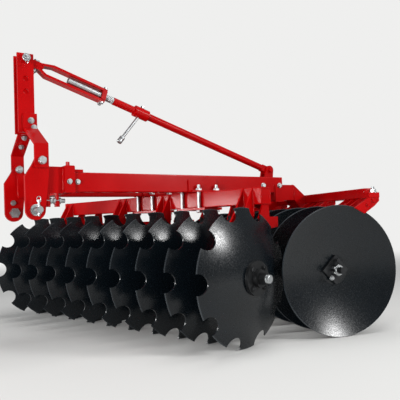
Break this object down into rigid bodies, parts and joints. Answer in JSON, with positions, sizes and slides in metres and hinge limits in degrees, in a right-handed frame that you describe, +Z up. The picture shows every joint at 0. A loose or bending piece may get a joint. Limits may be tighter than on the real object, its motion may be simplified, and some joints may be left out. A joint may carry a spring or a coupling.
{
  "type": "disc harrow",
  "caption": "Offset disc harrow for a tractor's three-point linkage: notched front gang and plain rear gang under a box-beam frame with mast and screw top brace.",
  "frame": {"origin": "on the floor under the middle of the machine's bounding box", "axes": "+X is the direction of travel, +Y the machine's left side (the side the lower left hitch pin points to), +Z up"},
  "size_m": [1.9933, 1.8856, 1.3479],
  "materials": {
    "red_paint": "gloss red machine paint over steel",
    "black_disc_paint": "satin black paint on disc steel",
    "black_cast_iron": "black dipped casting",
    "dark_steel": "oiled dark steel",
    "zinc_plated_steel": "zinc plated"
  },
  "bodies": {
    "frame": {"adjuster_bar": "red_paint", "brace_lug": "red_paint", "front_bearings": "black_cast_iron", "front_clamps": "red_paint", "front_cross_box": "red_paint", "front_gang_beam": "red_paint", "front_hangers": "red_paint", "front_scrapers": "red_paint", "headstock_cheek_left": "red_paint", "headstock_cheek_right": "red_paint", "hitch_plate_left": "red_paint", "hitch_plate_right": "red_paint", "lower_pin_left": "zinc_plated_steel", "lower_pin_right": "zinc_plated_steel", "main_beam_left": "red_paint", "main_beam_right": "red_paint", "pivot_bolt_left": "zinc_plated_steel", "pivot_bolt_right": "zinc_plated_steel", "rear_arm_left": "red_paint", "rear_arm_right": "red_paint", "rear_bearings": "black_cast_iron", "rear_cross_box": "red_paint", "rear_gang_beam": "red_paint", "rear_hangers": "red_paint", "rear_scrapers": "red_paint", "side_plate_left": "red_paint", "side_plate_right": "red_paint"},
    "front_gang": {"front_discs": "black_disc_paint", "front_axle": "dark_steel", "front_spools": "black_cast_iron", "front_end_fittings": "dark_steel"},
    "rear_gang": {"rear_discs": "black_disc_paint", "rear_axle": "dark_steel", "rear_spools": "black_cast_iron", "rear_end_fittings": "dark_steel"},
    "mast": {"mast_plate_left": "red_paint", "mast_plate_right": "red_paint", "mast_strap_left": "red_paint", "mast_strap_right": "red_paint", "mast_spacers": "zinc_plated_steel", "mast_upper_pin": "zinc_plated_steel"},
    "fork": {"fork_tongue": "red_paint", "fork_bars": "red_paint", "nut_block": "red_paint"},
    "brace": {"brace_tube": "red_paint", "brace_screw": "zinc_plated_steel", "brace_crank": "red_paint"}
  },
  "joints": [
    {"name": "front_gang_spin", "type": "hinge", "parent": "frame", "child": "front_gang", "pos_m": [0.392, -0.058, 0.305], "axis": [0.2504, -0.9681, 0], "continuous": true},
    {"name": "rear_gang_spin", "type": "hinge", "parent": "frame", "child": "rear_gang", "pos_m": [-0.496, 0.061, 0.305], "axis": [-0.2504, -0.9681, 0], "continuous": true},
    {"name": "mast_tilt", "type": "hinge", "parent": "frame", "child": "mast", "pos_m": [0.927, 0.115, 0.837], "axis": [0, 1, 0], "range_deg": [-5, 5]},
    {"name": "brace_swing", "type": "hinge", "parent": "frame", "child": "brace", "pos_m": [-0.501, 0.115, 0.853], "axis": [0, 1, 0], "range_deg": [-0.6, 0.6]},
    {"name": "fork_swing", "type": "hinge", "parent": "mast", "child": "fork", "pos_m": [0.94, 0.115, 1.324], "axis": [0, 1, 0], "range_deg": [-4.6, 4.6]}
  ],
  "couplings": [
    {"joint": "brace_swing", "follows": "mast_tilt", "ratio": 0.108},
    {"joint": "fork_swing", "follows": "mast_tilt", "ratio": -0.892}
  ]
}
